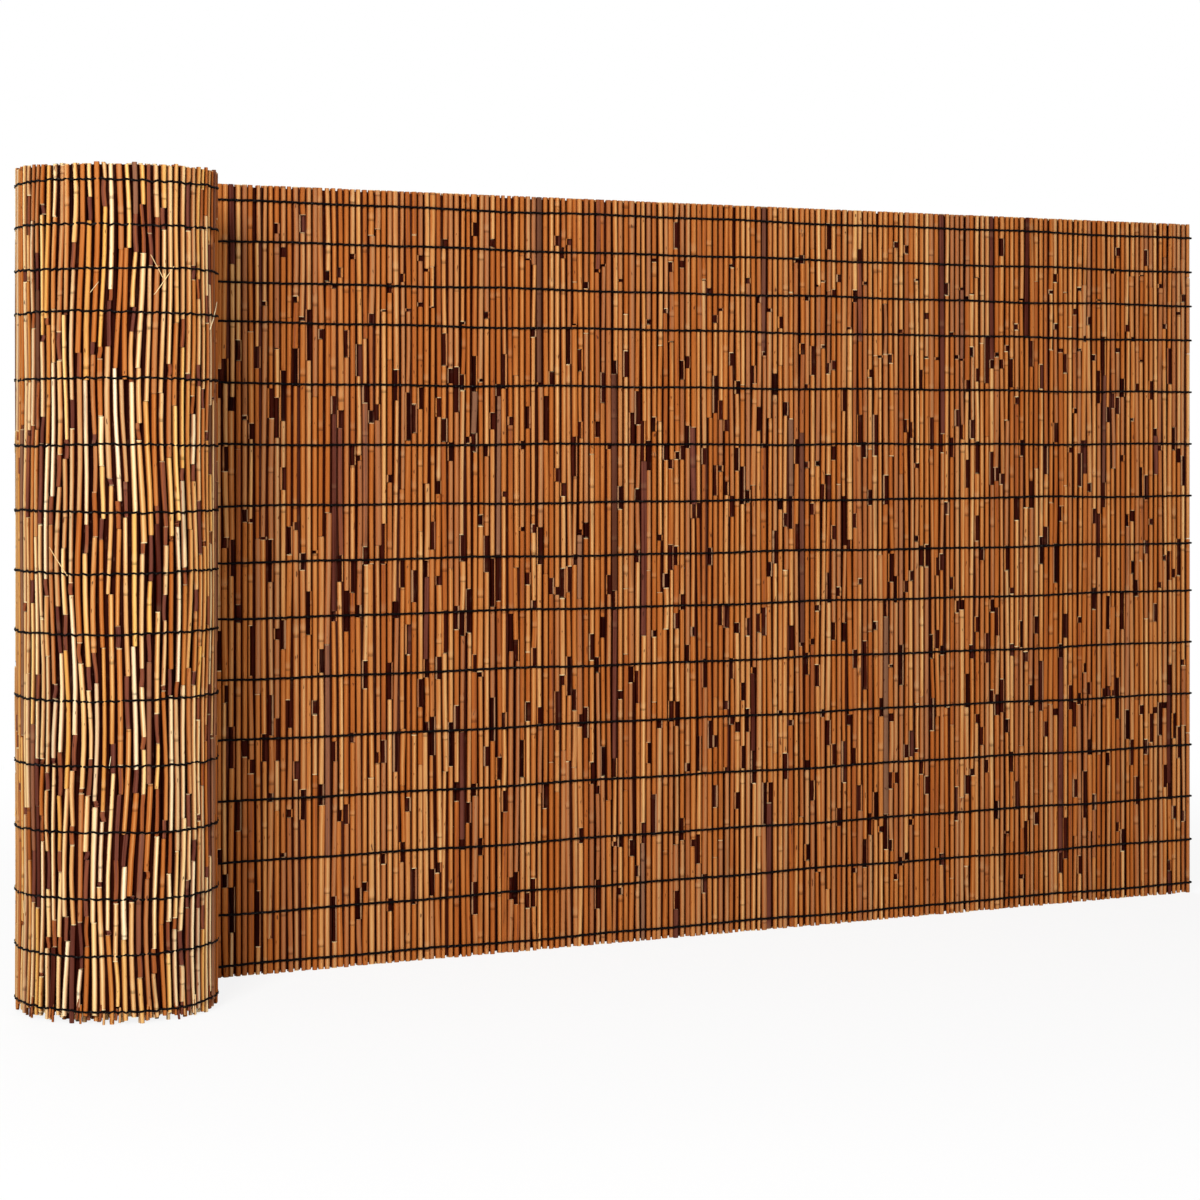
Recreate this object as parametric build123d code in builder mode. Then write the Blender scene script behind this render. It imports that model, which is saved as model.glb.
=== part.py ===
from build123d import *
from math import cos, pi, radians, sin
import os

os.makedirs("parts", exist_ok=True)

# A reed screen that stands on its cut reed ends: one end is still wound up as a roll, and the
# rest leaves the back of the roll at a tangent and stands free. +X runs along the free panel,
# away from the roll, and its front faces -Y. The origin is on the floor, in the middle of the box.

# Driving dimensions in millimetres
screen_height = 1000.0
free_length = 1710.0  # from the tangent at the back of the roll to the cut edge
roll_diameter = 249.0  # over the wires of the outermost turn
half_turns = 12  # windings of the roll, counted in half turns
reed_pitch = 8.7
mat_thickness = 10.0  # from crest to crest of the reeds
web_thickness = 4.4  # from valley to valley, between two reeds
crest_width = 4.2
wire_diameter = 2.4
wire_clearance = 0.1  # between a wire and the crests that it lies on
turn_clearance = 0.4  # between the wires of two neighbouring turns
wire_bends = 12  # straight runs of a wire round each half turn
top_margin = 21.0  # from the top edge to the first wire
bottom_margin = 15.5  # from the last wire to the floor
row_groups = ((3, 51.0), (3, 77.3), (2, 70.8), (4, 76.9), (2, 64.5))  # bays and their height, downwards
gap_count = 32
gap_width = 1.6
gap_margin = 9.0  # the least distance from a gap's end to a wire's middle
gap_stagger = 18.0  # how much the ends of the gaps vary

# Distances from the mat's middle surface
crest = mat_thickness / 2
valley = web_thickness / 2
wire_seat = crest + wire_clearance
wire_reach = wire_seat + wire_diameter
turn_pitch = 2 * wire_reach + turn_clearance

# The roll is a chain of half circles about two centres, each half a turn's pitch smaller than the last
outer_radius = roll_diameter / 2 - wire_reach
overall_length = roll_diameter / 2 + free_length + wire_clearance + wire_diameter
roll_x = (roll_diameter - overall_length) / 2
panel_y = outer_radius
free_x = roll_x + free_length


def turn_radius(half_turn):
    return outer_radius - half_turn * turn_pitch / 2


def turn_centre_y(half_turn):
    return -turn_pitch / 2 if half_turn % 2 else 0.0


def on_turn(half_turn, share, distance):
    # A point of one half turn, from its start (share 0) to its end, off the middle surface
    angle = radians(90 + 180 * (half_turn + share))
    radius = turn_radius(half_turn) + distance
    return (roll_x + radius * cos(angle), turn_centre_y(half_turn) + radius * sin(angle))


def reeds_in(length):
    return round(length / reed_pitch)


def ridges(length):
    # Share of the length and height above the middle surface, for each corner of the ridges
    count = reeds_in(length)
    half_crest = crest_width * count / length / 2
    for reed in range(count):
        yield reed / count, valley
        yield (reed + 0.5 - half_crest) / count, crest
        yield (reed + 0.5 + half_crest) / count, crest


def panel_face(side):
    # Ridges of the free panel from the cut edge to the roll: side is 1 at the back, -1 in front
    return [(free_x - share * free_length, panel_y + side * height) for share, height in ridges(free_length)]


def outer_face(half_turn):
    length = pi * turn_radius(half_turn)
    return [on_turn(half_turn, share, height) for share, height in ridges(length)]


# The outermost turn shows its ridges, and the turns inside it are plain
ridged_half_turns = (0, 1)
last = half_turns - 1
first_plain = len(ridged_half_turns)

# Wire rows from the top, with their bays fitted between the two margins
bay_fit = (screen_height - top_margin - bottom_margin) / sum(count * bay for count, bay in row_groups)
row_heights = [screen_height - top_margin]
for count, bay in row_groups:
    for _ in range(count):
        row_heights.append(row_heights[-1] - bay * bay_fit)
bays = list(zip(row_heights[1:], row_heights[:-1]))

# Reeds of the free panel, those that the roll hides, and a share that spreads the gaps evenly
panel_reeds = reeds_in(free_length)
hidden_reeds = reeds_in(roll_diameter / 2) + 1
golden = (5**0.5 - 1) / 2

# Reed mat: one ridged wall from the cut edge, round the roll, to its inner end
with BuildPart() as reed_mat:
    with BuildSketch(Plane.XY):
        with BuildLine():
            back = panel_face(1)
            for half_turn in ridged_half_turns:
                back += outer_face(half_turn)
            back.append(on_turn(first_plain, 0, valley))
            back.append(on_turn(first_plain, 0, crest))
            Polyline(*back)
            for half_turn in range(first_plain, half_turns):
                centre = (roll_x, turn_centre_y(half_turn))
                start = 90 + 180 * half_turn
                CenterArc(centre, turn_radius(half_turn) + crest, start, 180)
            Line(on_turn(last, 1, crest), on_turn(last, 1, -crest))
            for half_turn in range(half_turns):
                centre = (roll_x, turn_centre_y(half_turn))
                start = 90 + 180 * half_turn
                CenterArc(centre, turn_radius(half_turn) - crest, start, 180)
            front = panel_face(-1)
            front.append(on_turn(0, 0, -valley))
            front.append(on_turn(0, 0, -crest))
            Polyline(*front)
            Line(front[0], back[0])
        make_face()
    extrude(amount=screen_height)

    # Narrow gaps between neighbouring reeds of the free panel, each within one bay between two wires
    with BuildSketch(Plane.XZ.offset(-panel_y)):
        for gap in range(gap_count):
            reed = 1 + int((panel_reeds - hidden_reeds) * (gap + 0.5) / gap_count)
            bay_low, bay_high = bays[int(len(bays) * (gap * golden % 1))]
            low = bay_low + gap_margin + gap_stagger * (gap * golden * 3 % 1)
            high = bay_high - gap_margin - gap_stagger * (gap * golden * 7 % 1)
            with Locations((free_x - reed * free_length / panel_reeds, (low + high) / 2)):
                Rectangle(gap_width, high - low)
    extrude(amount=mat_thickness, both=True, mode=Mode.SUBTRACT)
reed_mat.part.label = "reed_mat"
export_step(reed_mat.part, "parts/reed_mat.step")


def wire_line(distance):
    # From the roll along the front of the panel, round the last reed, back along the rear and once
    # round the roll, in straight runs that touch the crests from outside
    end_x = free_x + distance - crest
    line = [(roll_x, panel_y - distance), (end_x, panel_y - distance), (end_x, panel_y + distance)]
    corner = 1 / cos(pi / wire_bends / 2)
    for half_turn in ridged_half_turns:
        radius = turn_radius(half_turn)
        for bend in range(wire_bends):
            share = (bend + 0.5) / wire_bends
            line.append(on_turn(half_turn, share, (radius + distance) * corner - radius))
    line.append(on_turn(ridged_half_turns[-1], 1, distance))
    return line


# Binding wires, one node for each row, counted from the top
for row, height in enumerate(row_heights, start=1):
    with BuildPart() as binding_wire:
        with BuildSketch(Plane.XY.offset(height - wire_diameter / 2)):
            with BuildLine():
                Polyline(*wire_line(wire_seat), *reversed(wire_line(wire_reach)), close=True)
            make_face()
        extrude(amount=wire_diameter)
    binding_wire.part.label = f"binding_wire_{row:02d}"
    export_step(binding_wire.part, f"parts/binding_wire_{row:02d}.step")
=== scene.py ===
import math
import random

import bmesh
import bpy
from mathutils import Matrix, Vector


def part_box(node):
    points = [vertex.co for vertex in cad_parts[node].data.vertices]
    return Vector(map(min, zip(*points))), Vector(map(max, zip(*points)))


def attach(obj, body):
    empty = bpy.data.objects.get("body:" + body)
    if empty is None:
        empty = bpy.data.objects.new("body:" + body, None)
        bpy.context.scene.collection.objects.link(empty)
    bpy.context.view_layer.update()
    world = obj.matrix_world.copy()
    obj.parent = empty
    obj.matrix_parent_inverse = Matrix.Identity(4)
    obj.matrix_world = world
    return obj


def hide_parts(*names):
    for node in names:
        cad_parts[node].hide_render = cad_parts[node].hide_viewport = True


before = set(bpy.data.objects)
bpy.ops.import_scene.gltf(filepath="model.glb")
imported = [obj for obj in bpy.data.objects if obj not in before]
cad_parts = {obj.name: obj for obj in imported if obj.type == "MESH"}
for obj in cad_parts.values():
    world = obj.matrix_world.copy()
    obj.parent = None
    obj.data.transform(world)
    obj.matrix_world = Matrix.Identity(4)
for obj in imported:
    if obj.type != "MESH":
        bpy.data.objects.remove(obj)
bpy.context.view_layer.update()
print("frame loaded:", len(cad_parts), "nodes")

# the mat as the frame gives it, in metres
mat = {
    "halfThickness": 0.005,  # from the middle of the mat to the reeds' crests
    "turnPitch": 0.0154,  # from one turn of the roll to the next
    "halfTurns": 12,
    "outerHalfTurns": 2,  # the turn that shows
    "reedPitch": 0.0087,
    "endMargin": 0.001,  # corners of the CAD mat nearer to its top or foot belong to that end
}
fullTurn = 6.28  # in radians
seeds = {"panel": 100, "roll": 200, "inner": 300, "wires": 400}
matLow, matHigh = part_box("reed_mat")
matHeight = matHigh.z - matLow.z
rollRadius = (matHigh.y - matLow.y) / 2 - mat["halfThickness"]
rollX = matLow.x + rollRadius + mat["halfThickness"]
rollY = (matHigh.y + matLow.y) / 2
panelY = matHigh.y - mat["halfThickness"]
freeX = matHigh.x
freeLength = freeX - rollX
turnRadii = [rollRadius - k * mat["turnPitch"] / 2 for k in range(mat["halfTurns"])]


def onMat(along, out, z):  # along from the free edge, out towards the panel's back and the roll's outside
    if along <= freeLength:
        return Vector((freeX - along, panelY + out, z))
    rest = along - freeLength
    k = 0
    while k < mat["halfTurns"] - 1 and rest > math.pi * turnRadii[k]:
        rest -= math.pi * turnRadii[k]
        k += 1
    turn = math.pi * (0.5 + k) + rest / turnRadii[k]
    radius = turnRadii[k] + out
    centreY = rollY - (mat["turnPitch"] / 2 if k % 2 else 0)
    return Vector((rollX + radius * math.cos(turn), centreY + radius * math.sin(turn), z))


def columnsOf(start, length):  # the middles of the reeds that share a stretch of the mat
    count = round(length / mat["reedPitch"])
    return [start + (n + 0.5) * length / count for n in range(count)]


panelColumns = columnsOf(0, freeLength)
turnColumns = []
turnStart = freeLength
for radius in turnRadii:
    turnColumns.append(columnsOf(turnStart, math.pi * radius))
    turnStart += math.pi * radius
outerColumns = sum(turnColumns[:mat["outerHalfTurns"]], [])
innerColumns = sum(turnColumns[mat["outerHalfTurns"]:], [])

# the open slits between reeds: the CAD mat has corners between its two ends only there
panelPitch = freeLength / len(panelColumns)
slits = {}
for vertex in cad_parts["reed_mat"].data.vertices:
    if mat["endMargin"] < vertex.co.z < matHeight - mat["endMargin"]:
        valley = round((freeX - vertex.co.x) / panelPitch)
        low, high = slits.get(valley, (matHeight, 0))
        slits[valley] = (min(low, vertex.co.z), max(high, vertex.co.z))
print("columns:", len(panelColumns), len(outerColumns), len(innerColumns), "slits:", len(slits))


class Field:  # one value of a material: a node's output that Python can reckon with
    def __init__(self, tree, socket=None):
        self.tree = tree
        self.socket = socket

    def node(self, kind, settings=None, inputs=None, output=0):
        made = self.tree.nodes.new("ShaderNode" + kind)
        for name, value in (settings or {}).items():
            if name == "stops":
                ramp = made.color_ramp
                while len(ramp.elements) < len(value):
                    ramp.elements.new(0.5)
                for element, (place, colour) in zip(ramp.elements, value):
                    element.position = place
                    element.color = (*colour, 1)
            else:
                setattr(made, name, value)
        for name, value in (inputs or {}).items():
            if isinstance(value, Field):
                self.tree.links.new(value.socket, made.inputs[name])
            else:
                made.inputs[name].default_value = value
        return Field(self.tree, made.outputs[output])

    def maths(self, operation, a, b, clamp=False):
        return self.node("Math", {"operation": operation, "use_clamp": clamp}, {0: a, 1: b})

    def __add__(self, other):
        return self.maths("ADD", self, other)

    def __radd__(self, other):
        return self.maths("ADD", other, self)

    def __sub__(self, other):
        return self.maths("SUBTRACT", self, other)

    def __rsub__(self, other):
        return self.maths("SUBTRACT", other, self)

    def __mul__(self, other):
        return self.maths("MULTIPLY", self, other)

    def __rmul__(self, other):
        return self.maths("MULTIPLY", other, self)

    def fraction(self):
        return self.maths("FRACT", self, 0.0)

    def clamped(self):
        return self.maths("ADD", self, 0.0, clamp=True)

    def between(self, low, high, full=1.0):  # 0 below low, full above high, smooth in between
        inputs = {"Value": self, "From Min": low, "From Max": high, "To Max": full}
        return self.node("MapRange", {"interpolation_type": "SMOOTHSTEP"}, inputs)

    def tinted(self, share, colour):  # this colour with a share of another laid over it
        return self.node("Mix", {"data_type": "RGBA"}, {0: share, 6: self, 7: (*colour, 1)}, 2)


def newMaterial(name):
    material = bpy.data.materials.new(name)
    material.use_nodes = True
    tree = material.node_tree
    return material, Field(tree), tree.nodes["Principled BSDF"]


def plug(value, shader, name):
    value.tree.links.new(value.socket, shader.inputs[name])


reedLook = {
    "tones": [  # from black-brown over purple brown, orange and gold to lemon
        (0.00, (0.008, 0.0006, 0.0004)),
        (0.12, (0.050, 0.007, 0.003)),
        (0.26, (0.160, 0.050, 0.032)),
        (0.42, (0.390, 0.112, 0.022)),
        (0.58, (0.525, 0.206, 0.056)),
        (0.74, (0.705, 0.410, 0.160)),
        (0.88, (0.880, 0.655, 0.330)),
        (1.00, (0.940, 0.830, 0.550)),
    ],
    "cutEnd": (0.86, 0.66, 0.36),
    # painted shade down in the hollow of a cut end
    "hole": (0.040, 0.018, 0.009),
    "stain": (0.060, 0.020, 0.012),
    "flankShade": (0.345, 0.074, 0.007),  # painted shade, darker orange towards the sides of a reed
    "creviceShade": (0.056, 0.005, 0.0005),  # painted shade in the crevices between reeds
    "joint": (0.050, 0.018, 0.010),
    "bloom": (0.86, 0.62, 0.32),  # the pale ring beside a joint
    "dull": (0.360, 0.195, 0.100),  # weathered
    "gold": (0.860, 0.500, 0.085),  # least weathered
    "roughness": 0.48,
    "gloss": 0.015,
    "bump": {"Strength": 0.35, "Distance": 0.0004},
}
reedGrain = {  # patterns along a reed, each on its own stretch of the reed's place
    "fibres": {"Scale": 1.0, "Detail": 3.0, "Roughness": 0.6},
    "patches": {"Scale": 1.0, "Detail": 3.0, "Roughness": 0.55},
    "patchStretch": (0.12, 0.12, 1.6),
    "nicks": {"Scale": 1.0, "Detail": 1.0},
    "nickStretch": (0.45, 0.45, 18.0),
    "fibreTone": 0.60,  # how far fibres and patches move the tone
    "patchTone": 0.30,
    "toneFreedom": 2.2,  # dark reeds vary less than pale ones
    "fibreRoughness": 0.3,
    "cutRoughness": 0.25,
}
reedTints = {  # from where, to where and, where there is a third number, how strongly a tint shows
    "patchStain": (0.60, 0.74, 0.40),
    "nickStain": (0.70, 0.76, 0.85),
    "flankShade": (0.0, 0.65, 0.75),
    "flankTone": (0.2, 0.5),  # dark reeds keep their colour on the sides
    "creviceShade": (0.45, 1.0, 0.80),
    "goldTone": (0.5, 0.75, 0.65),
    "goldStart": -0.5,  # reeds whose dullness is below this are golden
    "bloomStart": (0.012, 0.022, 0.18),
    "bloomEnd": (0.03, 0.06),
    "jointEnd": (0.006, 0.016),
    "jointShare": 0.45,
    "cutEnd": (0.15, 0.40),
    "cutLift": 0.2,  # the cut ends of pale reeds are the brightest
    "hole": (0.70, 0.90),
}


def makeReedMaterial():
    material, f, shader = newMaterial("dried_reed")
    shader.inputs["Specular IOR Level"].default_value = reedLook["gloss"]
    tone = f.node("Attribute", {"attribute_name": "tone"}, output=2)
    dull = f.node("Attribute", {"attribute_name": "dull"}, output=2)
    cut = f.node("Attribute", {"attribute_name": "cut"}, output=2)  # 0 on the stem to 1 in the hole
    joint = f.node("Attribute", {"attribute_name": "joint"}, output=2)  # joints gone by along the reed
    grain = f.node("Attribute", {"attribute_name": "grain"}, output=1)  # place on the reed
    crevice = f.node("Attribute", {"attribute_name": "crevice"}, output=2)  # 1 between two reeds; it places the painted shade on the sides
    fibres = f.node("TexNoise", None, {"Vector": grain, **reedGrain["fibres"]})
    patches = f.node("Mapping", None, {"Vector": grain, "Scale": reedGrain["patchStretch"]})
    patches = f.node("TexNoise", None, {"Vector": patches, **reedGrain["patches"]})
    nicks = f.node("Mapping", None, {"Vector": grain, "Scale": reedGrain["nickStretch"]})
    nicks = f.node("TexNoise", None, {"Vector": nicks, **reedGrain["nicks"]})
    vary = (fibres - 0.5) * reedGrain["fibreTone"] + (patches - 0.5) * reedGrain["patchTone"]
    shown = (tone + vary * (tone * reedGrain["toneFreedom"]).clamped()).clamped()
    colour = f.node("ValToRGB", {"stops": reedLook["tones"]}, {0: shown})
    colour = colour.tinted(dull, reedLook["dull"])
    golden = (reedTints["goldStart"] - dull).clamped() * tone.between(*reedTints["goldTone"])
    colour = colour.tinted(golden, reedLook["gold"])
    colour = colour.tinted(patches.between(*reedTints["patchStain"]), reedLook["stain"])
    colour = colour.tinted(nicks.between(*reedTints["nickStain"]), reedLook["stain"])
    # painted shade: darker orange towards each reed's sides, so that it looks round
    flankShade = crevice.between(*reedTints["flankShade"]) * tone.between(*reedTints["flankTone"])
    colour = colour.tinted(flankShade, reedLook["flankShade"])
    # painted shade: the reeds turn near black at their sides, where they meet
    colour = colour.tinted(crevice.between(*reedTints["creviceShade"]), reedLook["creviceShade"])
    toJoint = joint.fraction()
    bloom = toJoint.between(*reedTints["bloomStart"]) * (1 - toJoint.between(*reedTints["bloomEnd"]))
    colour = colour.tinted(bloom * tone, reedLook["bloom"])
    line = (1 - toJoint.between(*reedTints["jointEnd"])) * reedTints["jointShare"]
    colour = colour.tinted(line, reedLook["joint"])
    cutShare = cut.between(*reedTints["cutEnd"]) * (tone + reedTints["cutLift"]).clamped()
    colour = colour.tinted(cutShare, reedLook["cutEnd"])
    # painted shade: near black down in the hollow of each cut end
    colour = colour.tinted(cut.between(*reedTints["hole"]), reedLook["hole"])
    plug(colour, shader, "Base Color")
    rough = (fibres - 0.5) * reedGrain["fibreRoughness"] + cut * reedGrain["cutRoughness"]
    plug(reedLook["roughness"] + rough, shader, "Roughness")
    plug(f.node("Bump", None, {**reedLook["bump"], "Height": fibres}), shader, "Normal")
    return material


wireLook = {
    "coat": (0.003, 0.002, 0.002),
    "worn": (0.030, 0.025, 0.024),
    "roughness": 0.62,
    "wornRoughness": 0.15,  # what worn places add
    "gloss": 0.03,
    "wear": {"Scale": 320.0, "Detail": 2.0},
    "wearBand": (0.58, 0.72),
}


def makeWireMaterial():
    material, f, shader = newMaterial("black_wire")
    shader.inputs["Specular IOR Level"].default_value = wireLook["gloss"]
    place = f.node("TexCoord", output=3)
    worn = f.node("TexNoise", None, {"Vector": place, **wireLook["wear"]}).between(*wireLook["wearBand"])
    coat = f.node("RGB")
    coat.socket.default_value = (*wireLook["coat"], 1)
    plug(coat.tinted(worn, wireLook["worn"]), shader, "Base Color")
    plug(wireLook["roughness"] + worn * wireLook["wornRoughness"], shader, "Roughness")
    return material


reedMaterial = makeReedMaterial()
wireMaterial = makeWireMaterial()
print("materials made")


def partOf(v, rings, rims, wells):  # the part of a unit stem that a corner belongs to
    ringGap = 1 / (rings + 1)
    if v in wells:
        return "well"
    if v in rims:
        return "rim"
    if min(v.co.z, 1 - v.co.z) < ringGap / 2:
        return "mouth"
    if rings > 2 and v.co.z < 1.5 * ringGap:
        return "lowCollar"
    if rings > 2 and v.co.z > 1 - 1.5 * ringGap:
        return "highCollar"
    return "stem"


def reedForm(name, sides, rings, hole):  # a stem of unit radius and length, with a hollow end of its own
    bm = bmesh.new()
    bmesh.ops.create_cone(bm, cap_ends=True, segments=sides, radius1=1, radius2=1, depth=1)
    bmesh.ops.translate(bm, verts=bm.verts, vec=(0, 0, 0.5))
    longEdges = [e for e in bm.edges if abs(e.verts[0].co.z - e.verts[1].co.z) > 0.5]
    bmesh.ops.subdivide_edges(bm, edges=longEdges, cuts=rings)
    caps = [face for face in bm.faces if abs(face.normal.z) > 0.9]
    for face in bm.faces:
        face.smooth = face not in caps
    for face in caps:
        for edge in face.edges:
            edge.smooth = False
    rims = {v for face in caps for v in face.verts}
    wells = set()
    if hole:
        bmesh.ops.inset_individual(bm, faces=caps, thickness=hole, depth=0)
        floors = bmesh.ops.extrude_discrete_faces(bm, faces=caps)["faces"]
        wells = {v for face in floors for v in face.verts}
    mesh = bpy.data.meshes.new(name)
    bm.to_mesh(mesh)
    form = [(*v.co, partOf(v, rings, rims, wells)) for v in bm.verts]
    bm.free()
    return mesh, form


reedForms = {
    "whole": reedForm("whole_reed", 8, 5, 0.42),
    "inner": reedForm("inner_reed", 6, 1, 0.42),
    "flatStrip": reedForm("flat_strip", 4, 2, 0),
}
stem = {
    "collar": 0.0025,  # from a cut end to the first ring, so that only the end draws in
    "well": 0.004,  # depth of the hole in an end
    "rimSize": 0.93,
    "joints": (0.14, 0.36),  # distance from one joint to the next
    "freshCut": (-0.6, 0.9),  # below 0 a cut end is as dark as its stem
    "bowWave": 3.1,
    "nodWave": 4.3,
    "nod": 0.3,  # how far a reed bows in or out, as a share of its bow to the side
    "grainSpread": 90,  # no two reeds have the same grain
    "grainRound": 2.2,
    "grainUp": 5,
}
cutShares = {"stem": 0.0, "lowCollar": 0.0, "highCollar": 0.0, "rim": 0.5, "mouth": 0.6, "well": 1.0}
rollFlow = {
    "reach": 0.0017,
    "start": 0.05,  # grows to its full reach over this stretch behind the roll
    "waves": [(22.0, 21.0, 0.4), (-13.0, 10.0, 2.1)],  # round the roll, upwards, and where it starts
}


def flow(along, z):  # how far the reeds of the roll bend aside together
    rest = along - freeLength
    if rest <= 0:
        return 0
    bend = sum(math.sin(rest * across + z * up + phase) for across, up, phase in rollFlow["waves"])
    return rollFlow["reach"] * bend * min(1, rest / rollFlow["start"])


def newPiece(name, mesh, material, nodes):
    piece = bpy.data.objects.new(name, mesh)
    bpy.context.scene.collection.objects.link(piece)
    mesh.materials.clear()
    mesh.materials.append(material)
    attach(piece, "root")
    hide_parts(*nodes)
    print(name, len(mesh.loops) - 2 * len(mesh.polygons), "triangles")
    return piece


class Bundle:  # the reeds of one piece, grown in one bmesh
    def __init__(self):
        self.bm = bmesh.new()
        self.tone = self.bm.verts.layers.float.new("tone")
        self.dull = self.bm.verts.layers.float.new("dull")
        self.cut = self.bm.verts.layers.float.new("cut")
        self.joint = self.bm.verts.layers.float.new("joint")
        self.crevice = self.bm.verts.layers.float.new("crevice")
        self.grain = self.bm.verts.layers.float_vector.new("grain")

    def addReed(self, draw, kind, along, out, low, high, width, depth, tone,
                dull=0.0, lean=0.0, bow=0.0, taper=0.0):
        mesh, form = reedForms[kind]
        self.bm.from_mesh(mesh)
        self.bm.verts.ensure_lookup_table()
        first = len(self.bm.verts) - len(form)
        length = high - low
        jointGap = draw.uniform(*stem["joints"])
        jointStart = draw.random()
        shift = Vector([draw.uniform(0, stem["grainSpread"]) for _ in range(3)])
        phase = draw.uniform(0, fullTurn)
        freshness = max(0, draw.uniform(*stem["freshCut"]))
        grainScale = Vector((stem["grainRound"], stem["grainRound"], stem["grainUp"]))
        for n, (across, deep, share, part) in enumerate(form):
            v = self.bm.verts[first + n]
            z = low + length * share
            if part == "lowCollar":
                z = low + stem["collar"]
            elif part == "highCollar":
                z = high - stem["collar"]
            elif part == "well":
                z += stem["well"] if share < 0.5 else -stem["well"]
            share = (z - low) / length
            size = 1 + taper * (share - 0.5)
            if part in ("rim", "mouth"):
                size *= stem["rimSize"]
            sway = lean * (z - low - length / 2) + bow * math.sin(stem["bowWave"] * share + phase)
            if kind == "whole":
                sway += flow(along, z)
            nod = bow * stem["nod"] * math.cos(stem["nodWave"] * share + phase)
            v.co = onMat(along + sway + across * size * width / 2, out + nod + deep * size * depth / 2, z)
            v[self.tone] = tone
            v[self.dull] = dull
            v[self.joint] = jointStart + z / jointGap
            v[self.grain] = Vector((across, deep, z)) * grainScale + shift
            if kind != "flatStrip":
                # across squared, which places the painted shade on the reed's sides
                v[self.crevice] = across * across
                v[self.cut] = cutShares[part] * (freshness if part == "rim" else 1)

    def finish(self, name):
        mesh = bpy.data.meshes.new(name)
        bmesh.ops.recalc_face_normals(self.bm, faces=self.bm.faces)
        self.bm.to_mesh(mesh)
        self.bm.free()
        return newPiece(name, mesh, reedMaterial, ["reed_mat"])


panelReeds = {
    "width": (0.0056, 0.0090),
    "depth": (0.0038, 0.0052),
    "tone": (0.385, 0.695),
    "dull": (-0.6, 0.6),
    "pale": 0.0,  # share of the reeds
    "paleLow": 0.0,  # added towards the floor
    "dark": 0.06,
    "segment": (0.05, 0.30),  # length of a reed before the next one takes over
    "gap": (0.008, 0.075),
    "gapShare": 0.80,
    "filled": 0.80,  # share of the gaps where a thin dark reed shows
    # near black on the panel: painted shade in its gaps
    "filledTone": (0.0, 0.10),
    "filledSize": 0.7,
    "sliver": 0.92,  # share of the gaps with a splinter along one side
    "lean": 0.009,
    "bow": 0.0011,
    "stray": 0.0012,  # how far a reed lies from its place
    "ragged": (0.0, 0.0015),
    "strips": 6,
}
rollReeds = {
    "width": (0.0050, 0.0070),
    "depth": (0.0040, 0.0054),
    "tone": (0.46, 0.84),
    "dull": (-1.4, 0.5),
    "pale": 0.17,
    # painted light: more pale reeds towards the floor, for the brighter lower part of the roll
    "paleLow": 0.40,
    "dark": 0.10,
    "segment": (0.05, 0.19),
    "gap": (0.008, 0.080),
    "gapShare": 0.75,
    "filled": 1.0,
    "filledTone": (0.20, 0.36),
    "filledSize": 0.9,
    "sliver": 0.0,
    "stray": 0.0008,
    "lean": 0.012,
    "bow": 0.0013,
    "ragged": (0.0, 0.012),
    "strips": 4,
}
# the panel's back, which is the side that faces out on the roll
backReeds = dict(rollReeds, segment=(0.12, 0.40), ragged=panelReeds["ragged"])
# the roll's two sides and how far round it they are: wide, smooth reeds on the left, darker reeds on the
# right, which are painted shade
limbReeds = dict(rollReeds, width=(0.0072, 0.0088), tone=(0.50, 0.80), pale=0.14, paleLow=0.22, dark=0.12,
                 segment=(0.12, 0.40), gap=(0.004, 0.030), lean=0.010)
# the roll's right side: darker reeds, painted shade where it turns from the lamps
shadeReeds = dict(limbReeds, width=(0.0056, 0.0076), tone=(0.30, 0.52), pale=0.18, paleLow=0.10, dark=0.30)
sideStretches = [(0.10, 0.20, limbReeds), (0.46, 0.56, shadeReeds)]
toneRanges = {"pale": (0.76, 1.0), "dark": (0.14, 0.30)}
column = {
    "topRagged": 0.3,  # how ragged the top is, as a share of the foot
    "firstReed": 0.03,  # the shortest reed at the foot
    "lastReed": 0.05,  # a shorter rest at the top goes to the reed below it
    "seam": 0.0005,  # between two reeds that meet end to end
    "gapVary": (0.3, 1),
    "tightBays": (0.79, 0.93),  # heights between which the panel's reeds nearly meet end to end
    "tightGap": 0.25,
    "clearTop": 0.015,  # no gap comes nearer to the top edge
    "bowVary": (0.1, 1),
    "taper": 0.2,
}
split = {  # frayed feet of the roll
    "share": 0.3,
    "width": 0.0030,
    "apart": 0.6,
    "foot": 0.006,
    "length": (0.012, 0.030),
    "tone": (0.2, 0.9),
    "lean": (-0.06, 0.10),
    "lift": 0.012,  # how much higher the reed above them starts
}
sliver = {"thick": (0.0014, 0.0036), "out": 0.0028, "tone": (0.34, 0.56), "dull": (0.0, 0.3, 0.9)}
plain = {"topRagged": 0.4, "stray": 0.0006}
# the dark strip between the two faces: painted shade that shows in the gaps between reeds
flatStrip = {
    "half": 0.0004,  # half its thickness
    "width": 0.0102,
    "panelTone": (0.06, 0.18),
    "rollTone": (0.0, 0.05),
    "slit": 0.0016,  # width of an open slit
    "wander": 0.0001,
    "foot": 0.002,  # how much higher than the raggedest reed it starts
    "top": 0.003,  # how much lower than the mat it ends
}
splinter = {
    "count": 4,  # on each strip of the roll
    "thick": (0.0008, 0.0014),
    "length": (0.012, 0.040),
    "heights": (0.05, 0.90),
    "lean": 0.9,
    "out": 0.0056,
    "tone": 0.9,
}


def drawTone(draw, look, z):
    # more pale reeds lower down; on the roll this is painted light
    pale = look["pale"] + look["paleLow"] * (1 - z / matHeight)
    chance = draw.random()
    if chance < pale:
        return draw.uniform(*toneRanges["pale"])
    if chance < pale + look["dark"]:
        return draw.uniform(*toneRanges["dark"])
    return draw.uniform(*look["tone"])


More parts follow.
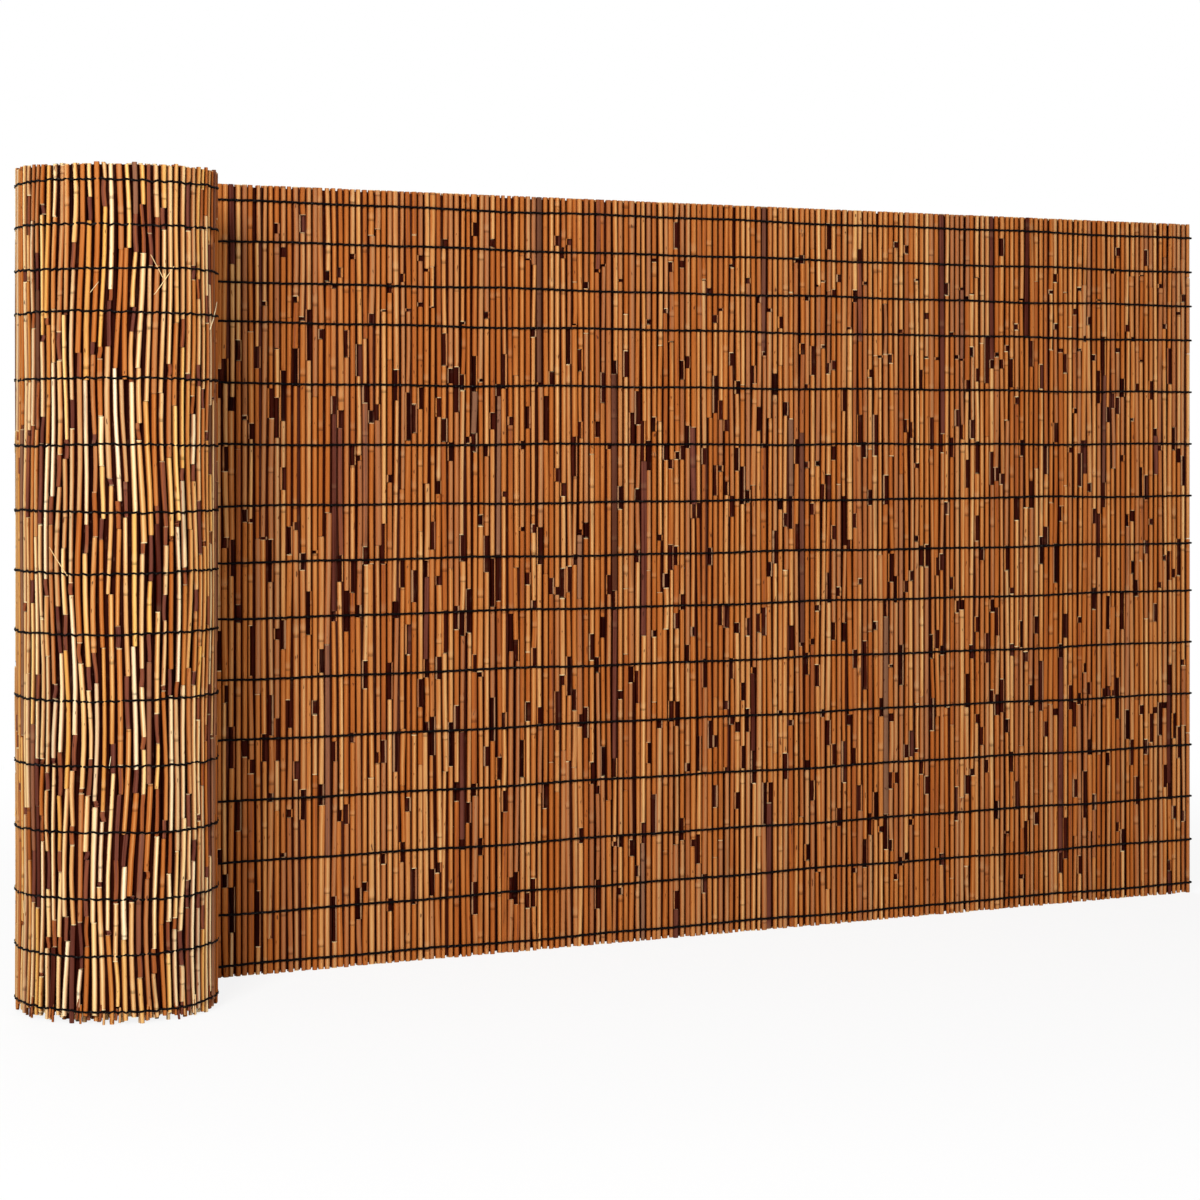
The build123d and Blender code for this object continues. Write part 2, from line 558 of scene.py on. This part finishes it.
def growReed(bundle, draw, look, along, face, low, high, tone, dull=0.0, scale=1.0, broad=False):
    depth = draw.uniform(*look["depth"]) * scale
    width = panelPitch - flatStrip["slit"] if broad else draw.uniform(*look["width"]) * scale
    loose = 0 if broad else 1
    place = along + draw.uniform(-1, 1) * look["stray"] * loose
    lean = draw.uniform(-1, 1) * look["lean"] * loose
    bow = draw.uniform(*column["bowVary"]) * look["bow"] * loose
    taper = draw.uniform(-1, 1) * column["taper"] * loose
    out = face * (flatStrip["half"] + depth / 2)
    bundle.addReed(draw, "whole", place, out, low, high, width, depth, tone, dull, lean, bow, taper)


def growSplitFoot(bundle, draw, along):  # a reed's foot, frayed into two
    width = split["width"]
    for side in (-1, 1):
        foot = draw.uniform(0, split["foot"])
        high = foot + draw.uniform(*split["length"])
        tone = draw.uniform(*split["tone"])
        lean = -side * draw.uniform(*split["lean"])
        place = along + side * width * split["apart"]
        bundle.addReed(draw, "whole", place, flatStrip["half"] + width, foot, high, width, width, tone, lean=lean)


def growSliver(bundle, draw, along, face, low, high):  # a strip of a broken reed along one side of a gap
    thick = draw.uniform(*sliver["thick"])
    place = along + draw.choice((-1, 1)) * (mat["reedPitch"] - thick) / 2
    tone = draw.uniform(*sliver["tone"])
    dull = draw.choice(sliver["dull"])
    bundle.addReed(draw, "flatStrip", place, face * sliver["out"], low, high, thick, thick, tone, dull)


def growColumn(bundle, draw, look, along, face, closed):  # one column of one face: 1 outwards, -1 inwards
    low = draw.uniform(*look["ragged"])
    top = matHeight - draw.uniform(*look["ragged"]) * column["topRagged"]
    if look is not panelReeds and face == 1 and draw.random() < split["share"]:
        growSplitFoot(bundle, draw, along)
        low += split["lift"]
    high = low + draw.uniform(column["firstReed"], look["segment"][1])
    while low < top:
        if top - high < column["lastReed"]:
            high = top
        dull = draw.uniform(*look["dull"])
        tone = drawTone(draw, look, low)
        if closed:
            tone = max(tone, look["tone"][0])
        growReed(bundle, draw, look, along, face, low, high, tone, dull, broad=bool(closed))
        low = high + column["seam"]
        tightLow, tightHigh = column["tightBays"]
        tight = column["tightGap"] if look is panelReeds and tightLow < low < tightHigh else 1
        gapEnd = low + draw.uniform(*look["gap"]) * draw.uniform(*column["gapVary"]) * tight
        beside = any(low < end and gapEnd > start for start, end in closed)
        if draw.random() < look["gapShare"] and not beside and gapEnd < top - column["clearTop"]:
            if draw.random() < look["filled"]:
                # on the panel this thin reed is near black, painted shade in the gap
                tone = draw.uniform(*look["filledTone"])
                growReed(bundle, draw, look, along, face, low, gapEnd, tone, scale=look["filledSize"])
            if draw.random() < look["sliver"]:
                growSliver(bundle, draw, along, face, low, gapEnd)
            low = gapEnd
        high = low + draw.uniform(*look["segment"])


def growPlain(bundle, draw, along, face):  # one unbroken reed where the roll hides all but its ends
    depth = draw.uniform(*rollReeds["depth"])
    width = draw.uniform(*rollReeds["width"])
    low = draw.uniform(*rollReeds["ragged"])
    high = matHeight - draw.uniform(*rollReeds["ragged"]) * plain["topRagged"]
    place = along + draw.uniform(-1, 1) * plain["stray"]
    tone = drawTone(draw, rollReeds, low)
    bundle.addReed(draw, "inner", place, face * (flatStrip["half"] + depth / 2), low, high, width, depth, tone)


def growShadeStrip(bundle, draw, valley, along, tones, foot):  # a dark strip between the two faces: painted shade that shows in the gaps between reeds
    tone = draw.uniform(*tones)
    out = draw.uniform(-1, 1) * flatStrip["wander"]
    thick = 2 * flatStrip["half"]
    top = matHeight - flatStrip["top"]
    low, high = slits.get(valley, (matHeight, matHeight))
    bundle.addReed(draw, "flatStrip", along, out, foot, min(low, top), flatStrip["width"], thick, tone)
    if high < matHeight:
        bundle.addReed(draw, "flatStrip", along, out, high, top, flatStrip["width"], thick, tone)
        half = (flatStrip["width"] - flatStrip["slit"]) / 2
        for side in (-1, 1):
            middle = along + side * (flatStrip["slit"] + half) / 2
            bundle.addReed(draw, "flatStrip", middle, out, low, high, half, thick, tone)


def scatterSplinters(bundle, draw, columns):  # broken bits of reed that hang in the wires
    for _ in range(splinter["count"]):
        low = draw.uniform(*splinter["heights"])
        high = low + draw.uniform(*splinter["length"])
        thick = draw.uniform(*splinter["thick"])
        lean = draw.uniform(-1, 1) * splinter["lean"]
        place = draw.choice(columns)
        tone = splinter["tone"]
        bundle.addReed(draw, "flatStrip", place, splinter["out"], low, high, thick, thick, tone, lean=lean)


def growStretch(name, columns, firstValley, inward, outward, tones, seed):
    draw = random.Random(seed)
    bundle = Bundle()
    shadeStripFoot = flatStrip["foot"] + outward["ragged"][1]
    for valley, along in enumerate(columns, start=firstValley):
        closed = [slits[k] for k in (valley - 1, valley) if k in slits]  # no reed ends beside a slit
        if valley == 1:
            closed = [(0, matHeight)]
        if inward:
            growColumn(bundle, draw, inward, along, -1, closed)
        else:
            growPlain(bundle, draw, along, -1)
        outside = outward
        for start, end, look in sideStretches:
            if start < along - freeLength < end:
                outside = look
        growColumn(bundle, draw, outside, along, 1, closed)
        growShadeStrip(bundle, draw, valley, along + mat["reedPitch"] / 2, tones, shadeStripFoot)
    if not inward:
        scatterSplinters(bundle, draw, columns)
    return bundle.finish(name)


def strips(columns, count):
    size = math.ceil(len(columns) / count)
    return [columns[k:k + size] for k in range(0, len(columns), size)]


firstValley = 1
for k, columns in enumerate(strips(panelColumns, panelReeds["strips"])):
    name = f"panel_reeds_{k + 1}"
    growStretch(name, columns, firstValley, panelReeds, backReeds, flatStrip["panelTone"], seeds["panel"] + k)
    firstValley += len(columns)
print("panel reeds grown")
for k, columns in enumerate(strips(outerColumns, rollReeds["strips"])):
    name = f"roll_reeds_{k + 1}"
    growStretch(name, columns, firstValley, None, rollReeds, flatStrip["rollTone"], seeds["roll"] + k)
    firstValley += len(columns)
print("outer turn grown")

innerDraw = random.Random(seeds["inner"])
innerBundle = Bundle()
for along in innerColumns:
    for face in (-1, 1):
        growPlain(innerBundle, innerDraw, along, face)
innerBundle.finish("inner_turns")
print("inner turns grown")

wire = {
    "radius": 0.0016,
    "rollSize": 0.85,  # share of that on the roll, where it is pulled tight
    "panelSunk": 0.0006,  # how deep it is pulled into the reeds' crests
    "rollSunk": 0.0011,
    "panelDip": 0.0006,  # how much deeper it lies in between two reeds
    "rollDip": 0.0014,
    "panelWander": 0.0004,  # how far it strays up and down
    "rollWander": 0.0012,
    "drift": 0.0012,  # how far it bends from level over a longer stretch
    "driftWaves": (19, 7),
    "edgeTurns": (-60, -20, 20, 60),  # its way round the last reed, in degrees
    "edgeReach": 0.0012,
}


def wirePath(draw, height):
    half = mat["reedPitch"] / 2
    phase = draw.uniform(0, fullTurn)
    shortWave, longWave = wire["driftWaves"]

    def overReed(along, side):  # over one reed and into the crevice after it
        where = "roll" if along > freeLength else "panel"
        reach = mat["halfThickness"] - wire[where + "Sunk"] + wire["radius"]
        wander = wire[where + "Wander"]
        level = height + wire["drift"] * math.sin(along * shortWave + phase) * math.sin(along * longWave)
        crest = onMat(along, side * reach, level + draw.uniform(-1, 1) * wander)
        dip = onMat(along + half, side * (reach - wire[where + "Dip"]), level + draw.uniform(-1, 1) * wander)
        return crest, dip

    points = []
    for along in reversed(panelColumns):  # along the front to the free edge
        points.extend(reversed(overReed(along, -1)))
    for turn in wire["edgeTurns"]:  # round the last reed
        a = math.radians(turn)
        edge = Vector((wire["edgeReach"] * math.cos(a), 0, 0))
        points.append(onMat(0, mat["halfThickness"] * math.sin(a), height) + edge)
    for along in panelColumns + outerColumns:  # back along the rear and once round the roll
        points.extend(overReed(along, 1))
    return points


def makeWire(node, seed):
    low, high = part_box(node)
    points = wirePath(random.Random(seed), (low.z + high.z) / 2)
    panelPoints = 4 * len(panelColumns) + len(wire["edgeTurns"])  # two for each reed on each face
    curve = bpy.data.curves.new(node + "_path", "CURVE")
    curve.dimensions = "3D"
    curve.bevel_depth = wire["radius"]
    curve.bevel_resolution = 1
    curve.use_fill_caps = True
    spline = curve.splines.new("POLY")
    spline.points.add(len(points) - 1)
    for n, (point, place) in enumerate(zip(spline.points, points)):
        point.co = (*place, 1)
        point.radius = wire["rollSize"] if n > panelPoints else 1
    holder = bpy.data.objects.new(node + "_holder", curve)
    mesh = bpy.data.meshes.new_from_object(holder)
    bpy.data.objects.remove(holder)
    bpy.data.curves.remove(curve)
    mesh.name = node
    for face in mesh.polygons:
        face.use_smooth = True
    return newPiece(node + "_strand", mesh, wireMaterial, [node])


wireNodes = sorted(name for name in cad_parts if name.startswith("binding_wire"))
for k, node in enumerate(wireNodes):
    makeWire(node, seeds["wires"] + k)
print("wires strung:", len(wireNodes))

# floor, light and camera
studio = {
    "worldStrength": 0.22,
    "floorSize": 14,  # from its middle to its edge
    "floorColour": (0.95, 0.95, 0.95),
    "floorRoughness": 0.9,
    "floorGlow": 0.86,  # how much of the floor is plain white to the camera, beside the shadow
    "floorFade": (1.1, 2.6),  # distance from the middle over which the rest turns white too
    "lamps": [  # name, place, size, watts
        ("key", (-2.9, -3.0, 2.3), 1.2, 160),
        ("fill", (1.2, -4.2, 1.8), 2.6, 50),
        ("rear", (0.4, 3.2, 2.6), 2.6, 60),
    ],
    "lampTarget": (0, 0, 0.5),
    "lens": 90.0,
    "sensor": 36,
    "cameraPlace": (-1.9609, -3.4466, 0.6783),
    "cameraTurn": -27.811,
    "cameraShift": -0.1340,
    "cameraReach": 100,
}


def seenDirectly(f):  # 1 where the camera, a gloss or a pane looks at it
    path = f.tree.nodes.new("ShaderNodeLightPath")
    seen = Field(f.tree, path.outputs["Is Camera Ray"])
    for name in ("Is Glossy Ray", "Is Transmission Ray"):
        seen = f.maths("MAXIMUM", seen, Field(f.tree, path.outputs[name]))
    return seen


def makeWorld():
    world = bpy.data.worlds.new("studio")
    bpy.context.scene.world = world
    world.use_nodes = True
    background = world.node_tree.nodes["Background"]
    background.inputs["Color"].default_value = (1, 1, 1, 1)
    seen = seenDirectly(Field(world.node_tree))
    plug(seen * (1 - studio["worldStrength"]) + studio["worldStrength"], background, "Strength")


def makeFloor():
    bm = bmesh.new()
    bmesh.ops.create_grid(bm, x_segments=1, y_segments=1, size=studio["floorSize"])
    mesh = bpy.data.meshes.new("floor")
    bm.to_mesh(mesh)
    bm.free()
    floor = bpy.data.objects.new("floor", mesh)
    bpy.context.scene.collection.objects.link(floor)
    material, f, shader = newMaterial("pale_floor")
    shader.inputs["Base Color"].default_value = (*studio["floorColour"], 1)
    shader.inputs["Roughness"].default_value = studio["floorRoughness"]
    place = f.node("TexCoord", output=3)
    far = f.node("VectorMath", {"operation": "LENGTH"}, {0: place}, "Value").between(*studio["floorFade"])
    white = (far * (1 - studio["floorGlow"]) + studio["floorGlow"]) * seenDirectly(f)
    glow = f.node("Emission")
    own = Field(f.tree, shader.outputs["BSDF"])
    shown = f.node("MixShader", None, {0: white, 1: own, 2: glow})
    plug(shown, f.tree.nodes["Material Output"], "Surface")
    mesh.materials.append(material)


def makeLamps():
    target = Vector(studio["lampTarget"])
    for name, place, size, power in studio["lamps"]:
        lamp = bpy.data.lights.new(name, "AREA")
        lamp.size = size
        lamp.energy = power
        holder = bpy.data.objects.new(name, lamp)
        holder.location = place
        holder.rotation_euler = (target - Vector(place)).to_track_quat("-Z", "Y").to_euler()
        bpy.context.scene.collection.objects.link(holder)


def makeCamera():
    camera = bpy.data.cameras.new("camera")
    camera.lens = studio["lens"]
    camera.sensor_width = studio["sensor"]
    camera.shift_y = studio["cameraShift"]
    camera.clip_end = studio["cameraReach"]
    holder = bpy.data.objects.new("camera", camera)
    holder.location = studio["cameraPlace"]
    holder.rotation_euler = (math.pi / 2, 0, math.radians(studio["cameraTurn"]))
    bpy.context.scene.collection.objects.link(holder)
    bpy.context.scene.camera = holder


bpy.context.scene.view_settings.view_transform = "Standard"
makeWorld()
makeFloor()
makeLamps()
makeCamera()
print("studio set")
